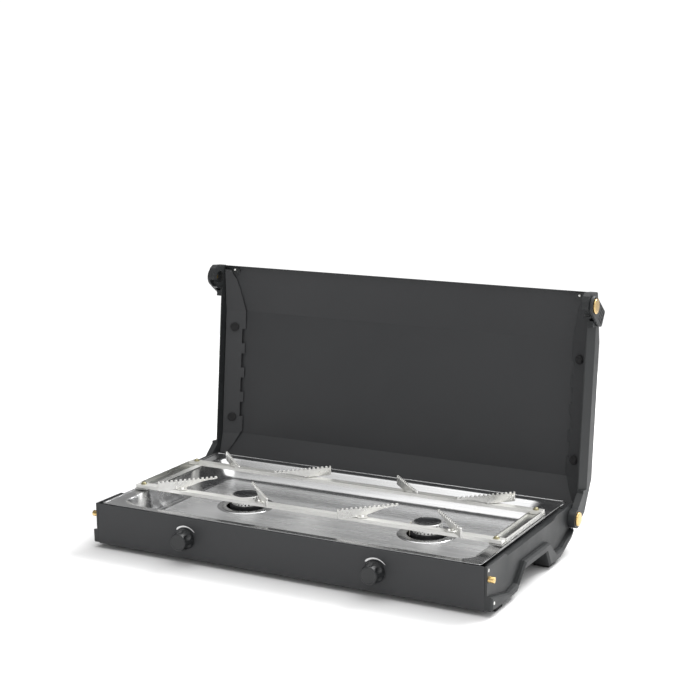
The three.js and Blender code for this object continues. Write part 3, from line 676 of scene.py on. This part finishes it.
# ---- CAD nodes that stay: a finish each, and broken edges ----
KEPT = {
    "powder_coat": (["front_panel", "base_pan", "lid_shell", "lid_liner_right", "lid_liner_left"], 0.35),
    "moulded_ends": (["side_cap_right", "side_cap_left", "lid_cap_right", "lid_cap_left"], 0.45),
    "rubber": ([f"foot_{row}_{side}" for row in ("front", "rear") for side in ("right", "left")], 0.8),
    # The burner bodies take the same near-black finish that paints the shade inside the heads.
    "burner_inside": (["burner_body_right", "burner_body_left"], 0.2),
    "brass": (
        ["gas_valve_right", "gas_valve_left", "gas_inlet", "valve_stem_right", "valve_stem_left"], 0.3,
    ),
    "frame_steel": (
        ["gas_manifold", "pot_frame_front_bar", "pot_frame_rear_bar", "lid_screw_right", "lid_screw_left"],
        0.3,
    ),
    "rail_steel": (["pot_frame_rail_right", "pot_frame_rail_left"], 0.25),
    "ceramic": (["spark_electrode_right", "spark_electrode_left"], 0.2),
}


def finish_kept_nodes():
    for look, (names, bevel) in KEPT.items():
        for name in names:
            node = NODES[name]
            for index in range(max(len(node.material_slots), 1)):
                if not node.material_slots:
                    node.data.materials.append(None)
                node.material_slots[index].link = "OBJECT"
                node.material_slots[index].material = LOOKS[look]
            add_bevel(node, bevel)


add_tray()
for burner_sign, burner_side in SIDES:
    add_burner(burner_side, burner_sign * BURNER_X)
    add_knob(burner_side, burner_sign * KNOB_X + KNOB_SHIFT)
    add_mark(burner_side, burner_sign * KNOB_X + KNOB_SHIFT)
add_round_details()
add_latches()
add_bumpers()
add_blades()
finish_kept_nodes()


# ---- Floor and lights ----
def add_floor():
    mesh = bpy.data.meshes.new("floor")
    edge = 1.25
    corners = [(-edge, -edge, 0), (edge, -edge, 0), (edge, edge, 0), (-edge, edge, 0)]
    mesh.from_pydata(corners, [], [(0, 1, 2, 3)])
    floor = bpy.data.objects.new("floor", mesh)
    bpy.context.scene.collection.objects.link(floor)
    made, shader, tree = material("floor_paper")
    tree.links.new(spread(tree, noise(tree, (30, 30, 30)), 0.86, 0.92), shader.inputs["Roughness"])
    shader.inputs["Base Color"].default_value = (0.9, 0.9, 0.9, 1)
    shader.inputs["Specular IOR Level"].default_value = 0.1
    mesh.materials.append(made)


def add_light(name, place, aim, size, power):
    data = bpy.data.lights.new(name, "AREA")
    data.shape = "RECTANGLE"
    data.size, data.size_y = size
    data.energy = power
    light = bpy.data.objects.new(name, data)
    bpy.context.scene.collection.objects.link(light)
    light.location = place
    light.rotation_euler = (Vector(aim) - Vector(place)).to_track_quat("-Z", "Y").to_euler()


add_floor()
add_light("light_top", (0.40, -0.25, 2.2), (0.40, -0.25, 0.0), (3.0, 2.8), 33)
add_light("light_top_left", (-1.36, -0.25, 2.2), (-1.36, -0.25, 0.0), (0.5, 2.8), 2.6)
add_light("light_back", (0.9, 2.0, 2.6), (0.0, -0.1, 0.0), (1.8, 1.2), 105)
add_light("light_front", (0.3, -3.2, 1.2), (0.0, 0.0, 0.15), (2.8, 1.4), 6)


def add_world():
    """White behind the stove, and for everything it mirrors a room that is darker on the left."""
    world = bpy.data.worlds.new("studio")
    bpy.context.scene.world = world
    world.use_nodes = True
    tree = world.node_tree
    room = tree.nodes["Background"]
    coords = tree.nodes.new("ShaderNodeTexCoord")
    split = tree.nodes.new("ShaderNodeSeparateXYZ")
    tree.links.new(coords.outputs["Generated"], split.inputs["Vector"])
    tree.links.new(spread(tree, split.outputs["X"], 0.28, 0.95, -0.6, 0.6), room.inputs["Strength"])
    white = tree.nodes.new("ShaderNodeBackground")
    white.inputs["Strength"].default_value = 1.1
    for shader in (room, white):
        shader.inputs["Color"].default_value = (1, 1, 1, 1)
    path = tree.nodes.new("ShaderNodeLightPath")
    mix = tree.nodes.new("ShaderNodeMixShader")
    tree.links.new(path.outputs["Is Camera Ray"], mix.inputs["Fac"])
    tree.links.new(room.outputs[0], mix.inputs[1])
    tree.links.new(white.outputs[0], mix.inputs[2])
    tree.links.new(mix.outputs[0], tree.nodes["World Output"].inputs["Surface"])


add_world()
bpy.context.scene.view_settings.view_transform = "Standard"
